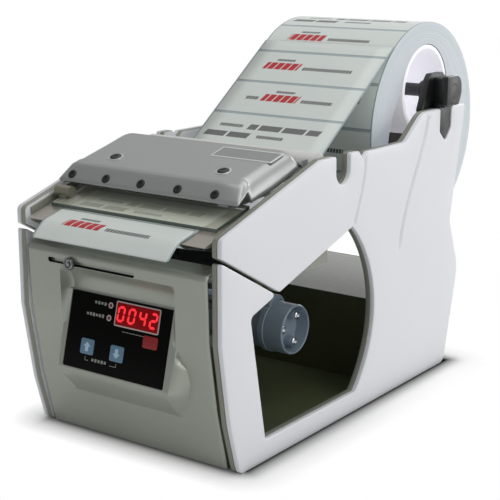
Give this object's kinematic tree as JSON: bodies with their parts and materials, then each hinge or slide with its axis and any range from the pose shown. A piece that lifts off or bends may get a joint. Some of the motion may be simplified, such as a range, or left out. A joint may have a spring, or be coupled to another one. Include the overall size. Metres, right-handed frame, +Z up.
{
  "type": "label dispenser",
  "caption": "Desktop label dispenser with moulded side panels, a keypad console, a hinged cover over a peeling plate and a loose roll of labels on a spool.",
  "frame": {"origin": "middle of the underside, on the table", "axes": "+X to the machine's right as the user faces the keypad, +Y from the keypad towards the roll at the rear, +Z up"},
  "size_m": [0.224, 0.4594, 0.3266],
  "materials": {
    "side_paint": "satin",
    "front_paint": "satin metallic",
    "cover_paint": "satin metallic",
    "base_paint": "satin",
    "dark_paint": "satin",
    "steel": "brushed",
    "bright": "polished",
    "black_plastic": "matte",
    "gloss_black": "gloss",
    "grey_plastic": "satin",
    "white_plastic": "satin",
    "blue_key": "satin",
    "red_key": "satin",
    "red_window": "gloss, translucent",
    "led": "lit",
    "clear": "clear acrylic",
    "paper": "coated paper, low sheen",
    "board": "solder mask",
    "rubber_dark": "matte",
    "beige_plate": "satin",
    "badge": "satin",
    "copper": "wound"
  },
  "bodies": {
    "housing": {"left_side_panel": "side_paint", "right_side_panel": "side_paint", "base_plate": "base_paint", "rubber_feet": "rubber_dark", "rear_housing": "base_paint", "rear_plate": "dark_paint", "rear_plate_screws": "steel", "power_inlet": "black_plastic", "switch_frame": "black_plastic", "power_supply": "board", "transformer": "copper", "left_bearing_plate": "beige_plate", "right_bearing_plate": "beige_plate", "bearing_plate_screws": "steel", "front_crossbar": "steel", "front_panel": "front_paint", "keypad_plate": "gloss_black", "display_module": "red_window", "display_segments": "led", "display_frame": "white_plastic", "indicator_lamps": "red_window", "control_board": "board", "board_screws": "steel", "sensor_rail": "steel", "peel_bar": "steel", "peel_plate": "beige_plate", "hinge_pins": "steel", "feed_motor": "dark_paint", "motor_mount": "steel", "feed_belt": "rubber_dark", "rewind_motor": "dark_paint", "spool_shaft": "steel", "left_holder": "black_plastic", "right_holder": "black_plastic", "loose_turns": "paper", "label_web": "paper", "dispensed_label": "paper"},
    "cover": {"top_cover": "cover_paint", "cover_front_screws": "black_plastic", "cover_top_screws": "dark_paint", "badge_plate": "badge", "clear_plate": "clear", "plate_brackets": "steel", "edge_guide": "beige_plate"},
    "sensor": {"label_sensor": "black_plastic", "sensor_knob": "bright"},
    "up_button": {"up_key": "blue_key"},
    "down_button": {"down_key": "blue_key"},
    "reset_button": {"reset_key": "red_key"},
    "rocker": {"power_switch": "gloss_black"},
    "guide": {"guide_roller": "white_plastic"},
    "feed": {"feed_roller": "rubber_dark"},
    "counter": {"counter_roller": "rubber_dark"},
    "motor_drive": {"motor_pulley": "black_plastic"},
    "rewinder": {"rewind_hub": "grey_plastic", "hub_screws": "bright"},
    "clip": {"liner_clip": "grey_plastic"},
    "core": {"core_supports": "black_plastic", "roll_core": "paper"},
    "roll": {"label_roll": "paper"}
  },
  "joints": [
    {"name": "cover_hinge", "type": "hinge", "parent": "housing", "child": "cover", "pos_m": [0, -0.0866, 0.226], "axis": [-1, 0, 0], "range_deg": [0, 65]},
    {"name": "sensor_slide", "type": "slide", "parent": "housing", "child": "sensor", "axis": [1, 0, 0], "range_m": [-0.02, 0.06]},
    {"name": "up_press", "type": "slide", "parent": "housing", "child": "up_button", "axis": [0, 0.969, -0.247], "range_m": [0, 0.0008], "stiffness_N_per_m": 700, "springref_m": -0.0006},
    {"name": "down_press", "type": "slide", "parent": "housing", "child": "down_button", "axis": [0, 0.969, -0.247], "range_m": [0, 0.0008], "stiffness_N_per_m": 700, "springref_m": -0.0006},
    {"name": "reset_press", "type": "slide", "parent": "housing", "child": "reset_button", "axis": [0, 0.969, -0.247], "range_m": [0, 0.0008], "stiffness_N_per_m": 700, "springref_m": -0.0006},
    {"name": "rocker_tilt", "type": "hinge", "parent": "housing", "child": "rocker", "pos_m": [0.012, 0.1424, 0.044], "axis": [-1, 0, 0], "range_deg": [0, 14]},
    {"name": "roll_spin", "type": "hinge", "parent": "housing", "child": "roll", "pos_m": [0.0115, 0.1334, 0.2304], "axis": [1, 0, 0], "continuous": true},
    {"name": "core_spin", "type": "hinge", "parent": "housing", "child": "core", "pos_m": [0.0115, 0.1329, 0.264], "axis": [1, 0, 0], "continuous": true},
    {"name": "guide_spin", "type": "hinge", "parent": "housing", "child": "guide", "pos_m": [0, -0.0596, 0.22], "axis": [1, 0, 0], "continuous": true},
    {"name": "feed_spin", "type": "hinge", "parent": "housing", "child": "feed", "pos_m": [0, -0.1316, 0.172], "axis": [1, 0, 0], "continuous": true},
    {"name": "counter_spin", "type": "hinge", "parent": "housing", "child": "counter", "pos_m": [0, -0.1316, 0.151], "axis": [1, 0, 0], "continuous": true},
    {"name": "motor_spin", "type": "hinge", "parent": "housing", "child": "motor_drive", "pos_m": [-0.088, -0.0936, 0.16], "axis": [1, 0, 0], "continuous": true},
    {"name": "rewind_spin", "type": "hinge", "parent": "housing", "child": "rewinder", "pos_m": [0, -0.0326, 0.0674], "axis": [1, 0, 0], "continuous": true},
    {"name": "clip_slide", "type": "slide", "parent": "rewinder", "child": "clip", "axis": [1, 0, 0], "range_m": [0, 0.03]}
  ],
  "couplings": [
    {"joint": "core_spin", "follows": "roll_spin", "ratio": 2.2905},
    {"joint": "guide_spin", "follows": "roll_spin", "ratio": -8.3652},
    {"joint": "feed_spin", "follows": "roll_spin", "ratio": 9.62},
    {"joint": "counter_spin", "follows": "roll_spin", "ratio": -9.62},
    {"joint": "motor_spin", "follows": "roll_spin", "ratio": 14.43}
  ]
}
